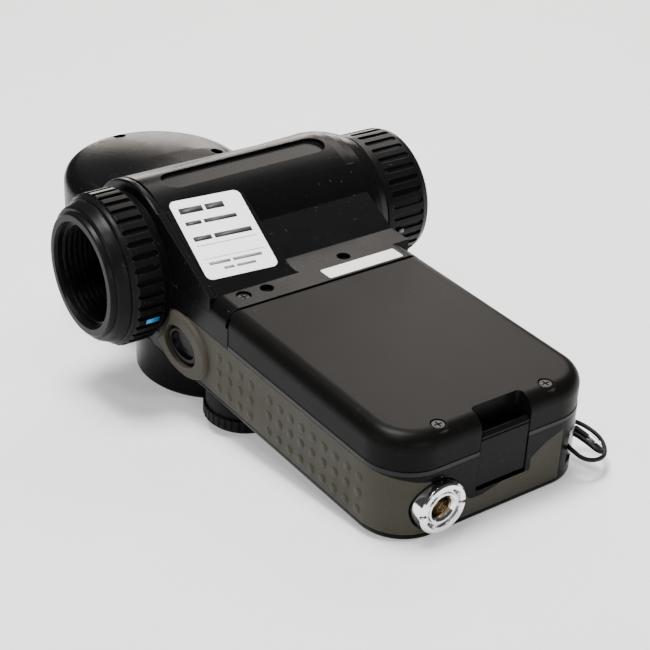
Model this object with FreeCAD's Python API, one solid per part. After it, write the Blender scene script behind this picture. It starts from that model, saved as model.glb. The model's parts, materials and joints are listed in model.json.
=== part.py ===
import FreeCAD, Part
import math
import os
from FreeCAD import Matrix, Vector

# Handheld light meter with a cross barrel (spot finder), a swivelling light head and a flat body.
# Units are millimetres.  The meter is drawn level, in a "body frame":
#   X runs along the finder barrel, from the objective end to the eyepiece end,
#   Y runs along the body, from the bottom face up to the swivelling head,
#   Z points out of the back, and the back cover's outer face is Z = 0.
# to_rest() then lays it down as it lies on a table, on the lower edge of its front and on the
# front drum, with the table at Z = 0, and that is how every node is written.

# ---- driving dimensions -------------------------------------------------------------------
BODY_LEFT, BODY_RIGHT = -31.8, 22.5      # side faces
BODY_END = 116.0                         # upper end of the body under the barrel
CORNER_R = 10.5                          # plan radius of the two lower corners
FRONT_Z = -25.0                          # front face
BACK_ROUND = 3.6                         # rounding of the back's outer edges
SPLIT_Z = -9.1                           # joint between the front casing and the back half
DECK_TOP = -8.1                          # top of the mid casing's deck
SEAM_Y = 61.6                            # back cover to rear housing seam
WALL = 3.2                               # casing wall with the rubber's recess in it
SKIN = 2.0                               # casing face thickness
TRIM_DEPTH = 1.6                         # recess for the rubber trim
TRIM_LOW, TRIM_HIGH = -23.4, -9.2        # the trim's band
BARREL_Y, BARREL_Z = 101.8, -6.0         # barrel axis
BARREL_R = 19.8                          # barrel housing
BARREL_INNER_R = 17.8
COLLAR_R = 17.2                          # neck between the selector ring and the housing
RING_R = 18.4                            # ribbed selector ring
EYE_RING_R = 16.8                        # ribbed eyepiece ring
BARREL_HALF = 46.2                       # half of the whole barrel's length
TUBE_R = 14.1                            # objective tube, which the selector ring turns on
EYE_TUBE_R = 12.1                        # eyepiece tube, which the eyepiece ring turns on
POCKET_DEPTH = 3.0                       # pocket floor below the fairing's slope
RUN_CLEARANCE = 0.05                     # radial clearance of every running fit
FAIRING_Y, FAIRING_SLOPE = 68.2, 26.5    # foot and slope (degrees) of the fairing under the label
DRUM_X, DRUM_Y, DRUM_R, DRUM_Z = -12.4, 96.0, 19.6, -36.0
WHEEL_X, WHEEL_Y, WHEEL_R, WHEEL_Z = -22.4, 67.2, 9.8, -32.4
BUTTON_Y, BUTTON_Z = 79.0, -17.4         # measuring button on the left side
BUTTON_A, BUTTON_B = 6.3, 4.2            # its semi-axes
SOCKET_X, SOCKET_Z = -20.3, -17.2        # tripod socket in the bottom face
SOCKET_THREAD_R = 2.6                    # 1/4-20 thread, at its minor diameter
NOTCH_X0, NOTCH_X1, NOTCH_DEPTH = -10.3, 3.0, 4.4
LATCH_PIVOT_Y, LATCH_PIVOT_Z = 1.6, -15.8
COVER_NOSE_R = 0.8                       # round upper end of the cover, on its hinge axis
COVER_HINGE_Y, COVER_HINGE_Z = SEAM_Y - 0.2 - COVER_NOSE_R, -COVER_NOSE_R
BATTERY_Z = -11.1                        # axis of the round cell in its bay
LABEL_X, LABEL_SKEW = -19.7, 4.0          # middle of the name plate, and its turn in degrees
SWIVEL_Z = -14.0                         # the head's swivel axis, along Y at X = 0
SWIVEL_R = 6.0
HEAD_Y0, HEAD_CY, HEAD_R = 123.0, 145.5, 24.5
HEAD_SPLIT_Z, HEAD_BACK_Z, HEAD_FRONT_Z = -16.0, -6.0, -26.0
DOME_R, DOME_TIP_Z = 17.5, -36.0         # lumisphere at its base, and its tip
LUG_X, LUG_Y, LUG_Z0, LUG_Z1 = 18.9, 3.6, -21.8, -12.6
CORD_R = 0.5
REST_TILT = 8.2175                       # degrees between the meter's length and the table
REST_DROP = 24.6105                      # lift that brings the lowest edges to the table
REST_SHIFT_Y = -86.578                   # puts the part's box centre at Y = 0
X, Y, Z = Vector(1, 0, 0), Vector(0, 1, 0), Vector(0, 0, 1)


# ---- helpers ------------------------------------------------------------------------------
def box(x0, x1, y0, y1, z0, z1):
    return Part.makeBox(x1 - x0, y1 - y0, z1 - z0, Vector(x0, y0, z0))


def rod(base, along, radius, length):
    return Part.makeCylinder(radius, length, Vector(*base), along)


def tube(base, along, outer, inner, length):
    return rod(base, along, outer, length).cut(rod(base, along, inner, length))


def rounded_face(points, radii):
    """A flat face on these corner points, with each corner rounded by its radius."""
    count = len(points)
    corners = []
    for i, (point, radius) in enumerate(zip(points, radii)):
        before = (points[i - 1] - point).normalize()
        after = (points[(i + 1) % count] - point).normalize()
        if radius == 0:
            corners.append((point, None, point))
            continue
        half = before.getAngle(after) / 2
        middle = (before + after).normalize()
        reach = radius / math.tan(half)
        centre = point + middle * (radius / math.sin(half))
        corners.append((point + before * reach, centre - middle * radius, point + after * reach))
    edges = []
    for i, (start, middle, end) in enumerate(corners):
        if middle is not None:
            edges.append(Part.Arc(start, middle, end).toShape())
        following = corners[(i + 1) % count][0]
        if (following - end).Length > 1e-6:
            edges.append(Part.LineSegment(end, following).toShape())
    return Part.Face(Part.Wire(edges))


def slab(x0, x1, y0, y1, z0, z1, low=0.0, high=0.0):
    """A plate with its lower (y0) and upper (y1) plan corners rounded."""
    points = [Vector(x0, y0, z0), Vector(x1, y0, z0), Vector(x1, y1, z0), Vector(x0, y1, z0)]
    return rounded_face(points, [low, low, high, high]).extrude(Vector(0, 0, z1 - z0))


def prism_x(points, x0, x1, radii=None):
    """A prism along X on an outline of (y, z) points."""
    corners = [Vector(x0, y, z) for y, z in points]
    return rounded_face(corners, radii or [0] * len(corners)).extrude(Vector(x1 - x0, 0, 0))


def prism_y(points, y0, y1, radii=None):
    """A prism along Y on an outline of (x, z) points."""
    corners = [Vector(x, y0, z) for x, z in points]
    return rounded_face(corners, radii or [0] * len(corners)).extrude(Vector(0, y1 - y0, 0))


def turn(base, along, profile):
    """A solid turned about an axis, from (distance along, radius) points."""
    base = Vector(*base)
    across = Y if abs(along.y) < 0.5 else X
    points = [base + along * a + across * r for a, r in profile]
    return Part.Face(Part.makePolygon(points + points[:1])).revolve(base, along, 360)


def barrel_turn(profile):
    return turn((0, BARREL_Y, BARREL_Z), X, profile)


def oval(y, z, semi_y, semi_z, x0, x1):
    """An oval cylinder along X."""
    ellipse = Part.Ellipse(Vector(x0, y + semi_y, z), Vector(x0, y, z + semi_z), Vector(x0, y, z))
    return Part.Face(Part.Wire(ellipse.toShape())).extrude(Vector(x1 - x0, 0, 0))


def fuse(*shapes):
    result = shapes[0].multiFuse(list(shapes[1:])) if len(shapes) > 1 else shapes[0]
    return result.removeSplitter()


def cut(shape, *tools):
    for tool in tools:
        shape = shape.cut(tool)
    return shape


def soften(shape, radius, wanted):
    """Rounds the edges that the test picks, or leaves the shape as it is where that fails."""
    edges = [edge for edge in shape.Edges if wanted(edge)]
    if not edges:
        return shape
    try:
        rounded = shape.makeFillet(radius, edges)
        return rounded if rounded.isValid() and rounded.Volume > 0 else shape
    except Part.OCCError:
        return shape


def edge_at(z=None, y=None, x=None):
    """Tests whether an edge lies whole in the plane given."""
    def test(edge):
        box_ = edge.BoundBox
        return ((z is None or (abs(box_.ZMin - z) < 1e-4 and abs(box_.ZMax - z) < 1e-4))
                and (y is None or (abs(box_.YMin - y) < 1e-4 and abs(box_.YMax - y) < 1e-4))
                and (x is None or (abs(box_.XMin - x) < 1e-4 and abs(box_.XMax - x) < 1e-4)))
    return test


def around(shape, centre, along, count):
    """Copies of a shape spaced evenly about an axis."""
    copies = []
    for i in range(count):
        copy = shape.copy()
        copy.rotate(Vector(*centre), along, 360.0 * i / count)
        copies.append(copy)
    return copies


def rib_slots(x0, x1, outer, width, depth, count):
    """Long round-ended grooves along a barrel ring."""
    y0, z0 = BARREL_Y, BARREL_Z + outer - depth
    half = width / 2
    slot = fuse(box(x0 + half, x1 - half, y0 - half, y0 + half, z0, z0 + 3),
                rod((x0 + half, y0, z0), Z, half, 3), rod((x1 - half, y0, z0), Z, half, 3))
    return around(slot, (0, BARREL_Y, BARREL_Z), X, count)


def screw(base, along, head_r, head_h, shank_r, shank_l):
    """A cross-head screw: its head's top is at the base, and along points into the work."""
    body = turn(base, along, [(0, 0), (0, head_r - 0.2), (0.2, head_r), (head_h, head_r),
                              (head_h, shank_r), (head_h + shank_l, shank_r), (head_h + shank_l, 0)])
    side = Y if abs(along.y) < 0.5 else X
    other = along.cross(side)
    arms = []
    for one, two in ((side, other), (other, side)):
        start = Vector(*base) - one * head_r * 0.62 - two * 0.16
        face = Part.Face(Part.makePolygon([start, start + one * head_r * 1.24,
                                           start + one * head_r * 1.24 + two * 0.32,
                                           start + two * 0.32, start]))
        arms.append(face.extrude(along * head_h * 0.55))
    return cut(body, *arms)


# ---- casing -------------------------------------------------------------------------------
def trim_zone(depth):
    """The band of the casing's side and bottom that the rubber trim fills, this deep."""
    outline = slab(BODY_LEFT, BODY_RIGHT, 0, 78, TRIM_LOW, TRIM_HIGH, CORNER_R, 0)
    inner = slab(BODY_LEFT + depth, BODY_RIGHT - depth, depth, 90, TRIM_LOW, TRIM_HIGH,
                 CORNER_R - depth, 0)
    band = outline.cut(inner)
    right_part = box(13.0, 40, -5, 90, -40, 10)
    # the black casing shows above this line of the bottom face, beside the latch
    gap = prism_y([(-20.3, 0), (-20.3, -10.0), (-11.6, -19.4), (-8.0, -19.4), (-3.6, -18.2),
                   (3.1, -16.0), (8.2, -12.6), (12.4, -11.0), (14.0, -11.0), (14.0, 0)], -3, depth + 0.2,
                  [0, 2, 1.5, 1.5, 0, 4, 0, 0.8, 0, 0])
    corner_gap = prism_y([(-32.2, -9.1), (-23.0, -10.9), (-20.0, -11.6), (-20.0, 0), (-32.2, 0)],
                         -3, 10.4)
    latch_gap = box(NOTCH_X0 - 1.4, NOTCH_X1 + 1.4, -3, depth + 0.2, -18.1, 0)
    return cut(band, right_part, gap, corner_gap, latch_gap)


def trim_ring(depth, proud):
    """The oval ring that carries the trim round the measuring button."""
    ring = oval(BUTTON_Y + 0.2, BUTTON_Z + 0.2, 11.2, 7.7, BODY_LEFT - proud, BODY_LEFT + depth)
    return ring.cut(rod((BODY_LEFT - 5, BARREL_Y, BARREL_Z), X, RING_R + 0.4, 5))


def fairing_block(x0, x1, sunk):
    """The wedge that carries the label, from the shelf up to the barrel, or one sunk below it."""
    rise = math.radians(FAIRING_SLOPE)
    run = 25.0
    foot = FAIRING_Y + sunk / math.sin(rise)
    return prism_x([(foot, 0), (foot + run * math.cos(rise), run * math.sin(rise)),
                    (BARREL_Y, BARREL_Z + 10), (BARREL_Y, -3), (foot, -3)], x0, x1)


def casing_shell():
    """Both casing halves in one, before they are parted at SPLIT_Z."""
    left, right = BODY_LEFT, BODY_RIGHT
    body = slab(left, right, 0, BODY_END, FRONT_Z, 0, CORNER_R, 8)
    body = soften(body, 1.0, edge_at(z=FRONT_Z))
    body = soften(body, BACK_ROUND, lambda e: edge_at(z=0)(e) and e.BoundBox.YMin < 100)
    barrel = barrel_turn([(left, 0), (left, BARREL_R - 0.5), (left + 0.15, BARREL_R - 0.15),
                          (left + 0.5, BARREL_R), (21.5, BARREL_R), (24.0, BARREL_R - 0.25),
                          (26.4, BARREL_R - 0.8), (28.6, BARREL_R - 1.6), (30.2, BARREL_R - 2.4),
                          (30.9, BARREL_R - 2.8), (30.9, 0)])
    collar = barrel_turn([(left - 1.7, 0), (left - 1.7, COLLAR_R), (left, COLLAR_R), (left, 0)])
    fairing = fairing_block(left, 24.0, 0)
    fairing = fairing.cut(barrel_turn([(left, 0), (left, BARREL_R - 1), (24, BARREL_R - 1), (24, 0)]))
    drum = rod((DRUM_X, DRUM_Y, DRUM_Z), Z, DRUM_R, 12)
    drum = drum.makeChamfer(0.7, [e for e in drum.Edges if edge_at(z=DRUM_Z)(e)])
    neck = rod((0, 112, SWIVEL_Z), Y, 10.5, 122.5 - 112)
    outer = fuse(body, barrel, collar, fairing, drum, neck)
    inner = [
        slab(left + WALL, right - WALL, WALL, BODY_END - WALL, FRONT_Z + SKIN, -SKIN,
             CORNER_R - WALL, 5),
        barrel_turn([(left + SKIN, 0), (left + SKIN, BARREL_INNER_R), (24.5, BARREL_INNER_R),
                     (24.5, 0)]),
        barrel_turn([(24.5, 0), (24.5, 14.6), (29.2, 14.6), (29.2, 0)]),
        rod((DRUM_X, DRUM_Y, DRUM_Z + SKIN), Z, DRUM_R - 1.8, 14),
        barrel_turn([(left - 2, 0), (left - 2, TUBE_R + 0.05), (left + 4, TUBE_R + 0.05),
                     (left + 4, 0)]),
        barrel_turn([(24, 0), (24, EYE_TUBE_R + 0.05), (36, EYE_TUBE_R + 0.05), (36, 0)])]
    shell = cut(outer, *inner)
    # solid bosses inside: tripod socket, strap lug, latch wall, swivel neck
    outline = slab(left, right, 0, BODY_END, FRONT_Z, 0, CORNER_R, 8)
    lug = rod((20.5, 1.5, LUG_Z0 - 0.6), Z, 6.8, LUG_Z1 - LUG_Z0 + 1.6).common(outline)
    socket_boss = rod((SOCKET_X, 0.2, SOCKET_Z), Y, 7.0, 8.2).common(outline)
    latch_wall = box(NOTCH_X0 - 1.6, NOTCH_X1 + 1.6, WALL - 0.2, 5.6, FRONT_Z + 1, SPLIT_Z)
    inner_neck = rod((0, 112, SWIVEL_Z), Y, 10.5, 9).common(
        barrel_turn([(-15, 0), (-15, BARREL_R - 0.2), (15, BARREL_R - 0.2), (15, 0)]))
    shell = fuse(shell, lug, socket_boss, latch_wall, inner_neck)
    holes = [
        # swivel shaft: bore, flange groove and cable hole
        rod((0, 118.2, SWIVEL_Z), Y, SWIVEL_R + RUN_CLEARANCE, 6),
        rod((0, 115.2, SWIVEL_Z), Y, SWIVEL_R + 1.9, 3.0),
        rod((0, 111, SWIVEL_Z), Y, 4.0, 5),
        # strap lug recess in the lower right corner
        rod((20.5, 1.5, LUG_Z0 + 0.6), Z, 5.0, LUG_Z1 - LUG_Z0 - 1.2),
        rod((LUG_X, LUG_Y, LUG_Z0), Z, 0.8, LUG_Z1 - LUG_Z0),
        rod((NOTCH_X0 - 1.2, LATCH_PIVOT_Y, LATCH_PIVOT_Z), X, 0.6, NOTCH_X1 - NOTCH_X0 + 2.4),
        # tripod socket
        rod((SOCKET_X, -5, SOCKET_Z), Y, 5.05, 13.3),
        rod((SOCKET_X, -5, SOCKET_Z), Y, 6.1, 6.6),
        # latch well
        box(NOTCH_X0, NOTCH_X1, -2, 3.6, -18.0, 5),
        # measuring button
        oval(BUTTON_Y, BUTTON_Z, BUTTON_A + 0.2, BUTTON_B + 0.2, BODY_LEFT - 3, BODY_LEFT + 6),
        oval(BUTTON_Y, BUTTON_Z, BUTTON_A + 1.5, BUTTON_B + 1.4, BODY_LEFT + 1.7, BODY_LEFT + 6),
        # rubber trim
        trim_zone(TRIM_DEPTH), trim_ring(TRIM_DEPTH, 3)]
    return cut(shell, *holes)


def front_casing(shell):
    """Front half: tray, lower half of the barrel, front drum, with the display and key openings."""
    half = shell.common(box(-60, 60, -5, 130, -50, SPLIT_Z))
    holes = [slab(-25, 15, 29, 56.5, FRONT_Z - 0.5, FRONT_Z + 1.0, 2, 2),
             box(-23, 13, 31, 54.5, FRONT_Z, FRONT_Z + 3),
             rod((WHEEL_X, WHEEL_Y, FRONT_Z - 1), Z, WHEEL_R + 0.5, 1.6),
             rod((WHEEL_X, WHEEL_Y, FRONT_Z - 1), Z, 1.5, 5),
             rod((BODY_RIGHT - 6, 46, -17), X, 3.6, 12)]
    for x, y in KEY_PLACES:
        holes.append(slab(x - KEY_W / 2 - 0.2, x + KEY_W / 2 + 0.2, y - KEY_H / 2 - 0.2,
                          y + KEY_H / 2 + 0.2, FRONT_Z - 1, FRONT_Z + 4, 1.4, 1.4))
    return cut(half, *holes)


def rear_housing(shell):
    """Back half above the seam: shelf, label fairing and the barrel's upper half."""
    half = shell.common(box(-60, 60, SEAM_Y, 130, SPLIT_Z, 40))
    # the pocket beside the label: a floor sunk below the slope, open to the right side
    sunk = fairing_block(-9.0, 40.0, POCKET_DEPTH)
    pocket = box(-9.0, 40.0, FAIRING_Y - 1, BARREL_Y, 0, 30)
    pocket = soften(pocket, 4.0, lambda e: edge_at(x=-9.0)(e) and e.BoundBox.ZLength > 20)
    barrel = barrel_turn([(-60, 0), (-60, BARREL_R), (60, BARREL_R), (60, 0)])
    pocket = cut(pocket, sunk, barrel)
    # a fine groove sets off the rim at the left end
    line = box(BODY_LEFT + 1.4, BODY_LEFT + 2.1, FAIRING_Y, 125, 0.0, 30)
    line = cut(line, fairing_block(-40, 0, 0.45),
               barrel_turn([(-60, 0), (-60, BARREL_R - 0.45), (0, BARREL_R - 0.45), (0, 0)]))
    # below the cover's rounded end the housing reaches forward to close the seam
    seam = box(BODY_LEFT, BODY_RIGHT, COVER_HINGE_Y + 0.15, SEAM_Y + 1, SPLIT_Z, -3.9)
    half = fuse(half, seam)
    grooves = []
    for low, high in ((-5.0, 15.5),):
        middle = math.radians((low + high) / 2)
        width = BARREL_R * math.radians(high - low)
        face_z = BARREL_Z + BARREL_R
        groove = slab(-25.0, 20.4, BARREL_Y - width / 2, BARREL_Y + width / 2, face_z - 1.1,
                      face_z + 3, width / 2 - 0.05, width / 2 - 0.05)
        groove.rotate(Vector(0, BARREL_Y, BARREL_Z), X, math.degrees(middle))
        grooves.append(groove)
    screw_hole = rod((-24.3, 66.0, -1.3), Z, 1.75, 5)
    shank_hole = rod((-24.3, 66.0, SPLIT_Z - 1), Z, 0.9, 9)
    blind_holes = [rod((-18.1, 66.0, -1.3), Z, 1.6, 5), rod((5.6, 69.4, -1.3), Z, 1.6, 5)]
    plate_seat = slab(-3.4, 17.8, 62.1, 66.5, -0.15, 3, 0.6, 0.6)
    screw_post = rod((-24.3, 66.0, SPLIT_Z), Z, 2.6, 7.6)
    half = fuse(half, screw_post)
    half = cut(half, pocket, line, screw_hole, shank_hole, plate_seat, *blind_holes, *grooves)
    return half


def mid_casing():
    """Deck under the back cover, with the battery bay let into it."""
    deck = slab(BODY_LEFT, BODY_RIGHT, 0, COVER_HINGE_Y, SPLIT_Z, DECK_TOP, CORNER_R, 0)
    bay = box(-27.6, 12.2, 8.7, 27.8, BATTERY_Z - 9.8, DECK_TOP)
    pocket = box(-26.4, 11.0, 9.7, 26.8, BATTERY_Z - 8.7, 0)
    rim = slab(BODY_LEFT + 3.4, BODY_RIGHT - 3.4, 3.6, 54.2, DECK_TOP, DECK_TOP + 1.6,
               CORNER_R - 3.4, 0).cut(slab(BODY_LEFT + 4.6, BODY_RIGHT - 4.6, 4.8, 53.0, DECK_TOP,
                                           DECK_TOP + 1.6, CORNER_R - 4.6, 0))
    posts = [rod((x, y, DECK_TOP), Z, 1.3, 1.9) for x in (-24, 14.5) for y in (31, 49.5)]
    window = box(-20, 10, 34, 54, SPLIT_Z - 1, DECK_TOP + 1)
    notch = box(NOTCH_X0, NOTCH_X1, -2, 3.6, -30, 5)
    clear = box(NOTCH_X0 - 2.4, NOTCH_X1 + 2.4, 3.0, 7.0, DECK_TOP, 5)
    screws = [rod((x, 3.4, DECK_TOP), Z, 3.0, 4) for x in (-19.2, 9.3)]
    return cut(fuse(deck, bay, rim, *posts), pocket, window, notch, clear, *screws)


def back_cover():
    """Battery and radio cover: hooks in at the seam and is latched at the bottom edge."""
    whole = slab(BODY_LEFT + 0.1, BODY_RIGHT - 0.1, 0.1, 66, DECK_TOP + 0.1, 0, CORNER_R, 0)
    whole = soften(whole, BACK_ROUND, lambda e: edge_at(z=0)(e) and e.BoundBox.YMin < 60)
    outer = whole.common(box(-40, 40, -1, COVER_HINGE_Y, -20, 5))
    nose = rod((BODY_LEFT, COVER_HINGE_Y, COVER_HINGE_Z), X, COVER_NOSE_R,
               BODY_RIGHT - BODY_LEFT).common(whole)
    inner = slab(BODY_LEFT + 2.2, BODY_RIGHT - 2.2, 2.3, COVER_HINGE_Y - 2.2, DECK_TOP - 1, -1.9,
                 CORNER_R - 2.2, 0)
    outer = cut(outer, inner)
    frame = box(NOTCH_X0 - 1.5, NOTCH_X1 + 1.5, 2.2, NOTCH_DEPTH + 1.5, DECK_TOP + 0.1, -1)
    bosses = [rod((x, 3.4, DECK_TOP + 0.4), Z, 2.3, 7.0) for x in (-19.2, 9.3)]
    notch = slab(NOTCH_X0, NOTCH_X1, -3, NOTCH_DEPTH, DECK_TOP - 1, 5, 0, 1.2)
    screw_seats = [rod((x, 3.4, -0.9), Z, 1.65, 5) for x in (-19.2, 9.3)]
    shanks = [rod((x, 3.4, -7.0), Z, 0.8, 8) for x in (-19.2, 9.3)]
    corners = slab(BODY_LEFT + 0.1, BODY_RIGHT - 0.1, 0.1, 70, DECK_TOP, 1, CORNER_R, 0)
    bosses = [b.common(corners) for b in bosses]
    return cut(fuse(outer, nose, frame, *bosses), notch, *screw_seats, *shanks)


def battery_latch():
    """Latch lever in the notch: it turns on a pin at its lower end and is pulled out at the top."""
    x0, x1 = NOTCH_X0 + 0.2, NOTCH_X1 - 0.2
    lever = prism_x([(0.2, -17.4), (2.7, -17.4), (2.7, -9.3), (1.9, -8.5), (1.9, -4.9),
                     (1.2, -4.3), (0.2, -4.9)], x0, x1, [0.6, 0.6, 0.3, 0.3, 0.3, 0.3, 0.4])
    pull = box(x0, x1, 0.2, 1.4, -5.8, -5.5)
    pin = rod((x0 - 1, LATCH_PIVOT_Y, LATCH_PIVOT_Z), X, 0.6 + RUN_CLEARANCE, x1 - x0 + 2)
    return cut(lever, pull, pin)


def rubber_trim():
    """Soft grip band with rows of raised dots, and the ring round the measuring button."""
    depth = TRIM_DEPTH - 0.1
    band = trim_zone(depth)
    ring = trim_ring(depth, 1.3)
    ring = soften(ring, 1.0, edge_at(x=BODY_LEFT - 1.3))
    hole = oval(BUTTON_Y, BUTTON_Z, BUTTON_A + 0.6, BUTTON_B + 0.6, BODY_LEFT - 5, BODY_LEFT + 5)
    socket_gap = rod((SOCKET_X, -3, SOCKET_Z), Y, 6.3, 8)
    return cut(fuse(band, ring), hole, socket_gap)


# ---- controls -----------------------------------------------------------------------------
KEY_W, KEY_H = 9.0, 4.6
KEY_PLACES = [(x, y) for y in (13.6, 21.6) for x in (-17.0, -4.6, 7.8)]
KEY_NAMES = ["power_key", "mode_key", "memory_key", "average_key", "film_speed_1_key",
             "film_speed_2_key"]


def key(x, y):
    cap = slab(x - KEY_W / 2, x + KEY_W / 2, y - KEY_H / 2, y + KEY_H / 2, FRONT_Z - 0.7,
               FRONT_Z + 2.1, 1.2, 1.2)
    cap = soften(cap, 0.4, edge_at(z=FRONT_Z - 0.7))
    flange = slab(x - KEY_W / 2 - 0.7, x + KEY_W / 2 + 0.7, y - KEY_H / 2 - 0.7,
                  y + KEY_H / 2 + 0.7, FRONT_Z + 2.1, FRONT_Z + 2.6, 1.6, 1.6)
    return fuse(cap, flange)


def measuring_button():
    cap = oval(BUTTON_Y, BUTTON_Z, BUTTON_A, BUTTON_B, BODY_LEFT - 0.5, BODY_LEFT + 1.8)
    cap = soften(cap, 0.5, edge_at(x=BODY_LEFT - 0.5))
    dish = oval(BUTTON_Y, BUTTON_Z, BUTTON_A - 1.3, BUTTON_B - 1.2, BODY_LEFT - 1, BODY_LEFT + 0.6)
    cap = cap.cut(soften(dish, 1.0, edge_at(x=BODY_LEFT + 0.6)))
    flange = oval(BUTTON_Y, BUTTON_Z, BUTTON_A + 1.2, BUTTON_B + 1.1, BODY_LEFT + 1.8,
                  BODY_LEFT + 2.5)
    return fuse(cap, flange)


def jog_wheel():
    """Ribbed thumb wheel that turns flat on the front face, beside the drum."""
    z0, z1 = WHEEL_Z, FRONT_Z + 0.3
    neck = rod((WHEEL_X, WHEEL_Y, z0 + 3.4), Z, WHEEL_R - 0.6, z1 - z0 - 3.4)
    wheel = fuse(rod((WHEEL_X, WHEEL_Y, z0), Z, WHEEL_R, 3.4), neck)
    wheel = wheel.makeChamfer(0.6, [e for e in wheel.Edges if edge_at(z=z0)(e)])
    groove = rod((WHEEL_X + WHEEL_R + 0.15, WHEEL_Y, z0 - 1), Z, 0.45, z1 - z0 + 0.2)
    grooves = around(groove, (WHEEL_X, WHEEL_Y, 0), Z, 36)
    bore = rod((WHEEL_X, WHEEL_Y, z0 - 1), Z, 1.5 + RUN_CLEARANCE, 12)
    seat = rod((WHEEL_X, WHEEL_Y, z0 - 1), Z, 3.2, 2.2)
    return cut(wheel, bore, seat, *grooves)


def jog_axle():
    return fuse(rod((WHEEL_X, WHEEL_Y, WHEEL_Z + 0.3), Z, 2.9, 0.7),
                rod((WHEEL_X, WHEEL_Y, WHEEL_Z + 1.0), Z, 1.5, FRONT_Z + 3.4 - WHEEL_Z - 1.0),
                rod((WHEEL_X, WHEEL_Y, FRONT_Z + SKIN), Z, 2.6, 1.2))


# ---- finder barrel ------------------------------------------------------------------------
def objective_tube():
    tube_ = barrel_turn([(-44.2, 12.4), (-44.2, TUBE_R), (-29.8, TUBE_R), (-29.8, 16.2), (-28.7, 16.2),
                         (-28.7, TUBE_R), (-24.0, TUBE_R), (-24.0, 9.4), (-31.0, 9.4), (-31.0, 10.4),
                         (-35.0, 10.4), (-35.0, 12.4)])
    baffles = [barrel_turn([(x, 11.7), (x, 12.5), (x + 0.8, 12.5), (x + 0.8, 12.1)])
               for x in (-44.0, -42.6, -41.2, -39.8, -38.4, -37.0)]
    return fuse(tube_, *baffles)


def objective_front_ring():
    return barrel_turn([(-BARREL_HALF, 13.0), (-BARREL_HALF, 14.5), (-45.9, 14.9), (-45.0, 15.1),
                        (-45.0, 15.7), (-44.6, 16.2), (-43.2, 16.8), (-42.4, 17.1), (-42.1, 17.1),
                        (-42.1, TUBE_R), (-44.3, TUBE_R), (-44.3, 12.6), (-45.4, 12.6)])


def selector_ring():
    ring = barrel_turn([(-42.0, TUBE_R + RUN_CLEARANCE), (-42.0, 17.3), (-41.7, 17.6),
                        (-41.0, 17.9), (-40.6, RING_R), (-34.4, RING_R), (-33.7, 18.0),
                        (-33.7, TUBE_R + RUN_CLEARANCE)])
    return cut(ring, *rib_slots(-40.9, -34.2, RING_R, 1.5, 0.7, 38))


def lens(x0, x1, radius, bulge0, bulge1):
    """A lens between two planes, with faces bulging outwards by these heights."""
    y0, z0 = BARREL_Y, BARREL_Z
    start, end = Vector(x0 - bulge0, y0, z0), Vector(x1 + bulge1, y0, z0)
    low, high = Vector(x0, y0 + radius, z0), Vector(x1, y0 + radius, z0)

    def face_arc(tip, rim, bulge, sign):
        curve = (radius ** 2 + bulge ** 2) / (2 * bulge)
        half = math.asin(radius / curve) / 2
        centre = Vector(tip.x + sign * curve, y0, z0)
        middle = centre + Vector(-sign * curve * math.cos(half), curve * math.sin(half), 0)
        return Part.Arc(tip, middle, rim).toShape()
    edges = [face_arc(start, low, bulge0, 1), Part.LineSegment(low, high).toShape(),
             face_arc(end, high, bulge1, -1), Part.LineSegment(end, start).toShape()]
    wire = Part.Wire(Part.__sortEdges__(edges))
    return Part.Face(wire).revolve(Vector(0, y0, z0), X, 360)


def finder_chassis():
    """Plate and two light-stop walls that carry the prism and the reticle."""
    plate = box(-22, 22, BARREL_Y - 9.5, BARREL_Y + 9.5, BARREL_Z - 11.0, BARREL_Z - 9.6)
    walls = [tube((x, BARREL_Y, BARREL_Z), X, BARREL_INNER_R, 7.0, 1.2) for x in (-22, 20.8)]
    return fuse(plate, *walls)


def eyepiece_ring():
    ring = barrel_turn([(31.1, EYE_TUBE_R + RUN_CLEARANCE), (31.1, EYE_RING_R - 0.4),
                        (31.5, EYE_RING_R), (42.6, EYE_RING_R - 0.2), (44.2, 16.0), (45.1, 15.0),
                        (45.1, EYE_TUBE_R + RUN_CLEARANCE)])
    return cut(ring, *rib_slots(33.0, 42.4, EYE_RING_R, 1.5, 0.7, 34))


# ---- light head ---------------------------------------------------------------------------
def head_outline(z, inset=0.0):
    half = HEAD_R - 0.05 - inset
    shoulder = HEAD_CY + 1.5
    foot = 25.8 - inset
    low, top = HEAD_Y0 + inset, HEAD_CY + HEAD_R - inset
    edges = [Part.LineSegment(Vector(-foot, low, z), Vector(foot, low, z)).toShape(),
             Part.LineSegment(Vector(foot, low, z), Vector(half, shoulder, z)).toShape(),
             Part.Arc(Vector(half, shoulder, z), Vector(0, top, z), Vector(-half, shoulder, z)).toShape(),
             Part.LineSegment(Vector(-half, shoulder, z), Vector(-foot, low, z)).toShape()]
    return Part.Face(Part.Wire(edges))


def head_screw_places():
    return [(0, 165.4), (17.2, 142.9), (-14.5, 129.0)]


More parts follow.
